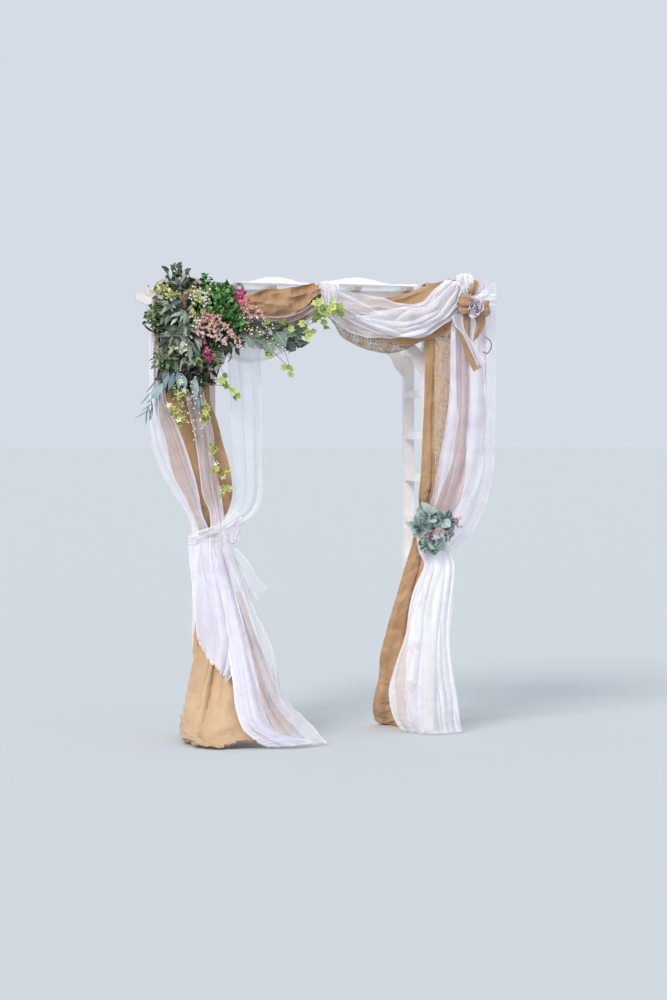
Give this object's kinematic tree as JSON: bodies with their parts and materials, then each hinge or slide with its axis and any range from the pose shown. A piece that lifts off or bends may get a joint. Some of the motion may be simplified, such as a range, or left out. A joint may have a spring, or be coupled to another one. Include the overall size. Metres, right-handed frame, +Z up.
{
  "type": "floral wedding arch",
  "caption": "Square-topped wooden arbour frame with ladder sides, draped and swagged with burlap and tulle and dressed with artificial flowers, for a couple to stand under.",
  "frame": {"origin": "on the floor, under the middle of the whole dressed arch's bounding box", "axes": "+X to the right of somebody facing the dressed front, +Y to the back, +Z up"},
  "size_m": [1.743, 1.06, 2.2256],
  "materials": {
    "painted_wood": "brushed off-white paint on softwood, matte, with scuffed edges",
    "burlap": "golden tan plain-weave jute, coarse and matte",
    "tulle": "white nylon net, sheer, soft sheen where it is gathered",
    "artificial_foliage": "matte and lightly felted leaves, with small blooms and berries"
  },
  "bodies": {
    "root": {"left_front_post": "painted_wood", "left_back_post": "painted_wood", "right_front_post": "painted_wood", "right_back_post": "painted_wood", "left_rung_1": "painted_wood", "left_rung_2": "painted_wood", "left_rung_3": "painted_wood", "left_rung_4": "painted_wood", "left_rung_5": "painted_wood", "left_rung_6": "painted_wood", "left_rung_7": "painted_wood", "left_rung_8": "painted_wood", "left_rung_9": "painted_wood", "right_rung_1": "painted_wood", "right_rung_2": "painted_wood", "right_rung_3": "painted_wood", "right_rung_4": "painted_wood", "right_rung_5": "painted_wood", "right_rung_6": "painted_wood", "right_rung_7": "painted_wood", "right_rung_8": "painted_wood", "right_rung_9": "painted_wood", "front_beam": "painted_wood", "back_beam": "painted_wood", "top_slat_1": "painted_wood", "top_slat_2": "painted_wood", "top_slat_3": "painted_wood", "top_slat_4": "painted_wood", "top_slat_5": "painted_wood", "top_slat_6": "painted_wood", "top_slat_7": "painted_wood", "left_front_bracket": "painted_wood", "left_back_bracket": "painted_wood", "right_front_bracket": "painted_wood", "right_back_bracket": "painted_wood", "left_burlap_drape": "burlap", "right_burlap_drape": "burlap", "swag_burlap": "burlap", "left_tulle_drape": "tulle", "right_tulle_drape": "tulle", "swag_tulle": "tulle", "corner_bow": "burlap", "corner_flowers": "artificial_foliage", "drape_sprig": "artificial_foliage", "tie_back_flowers": "artificial_foliage"}
  },
  "joints": []
}
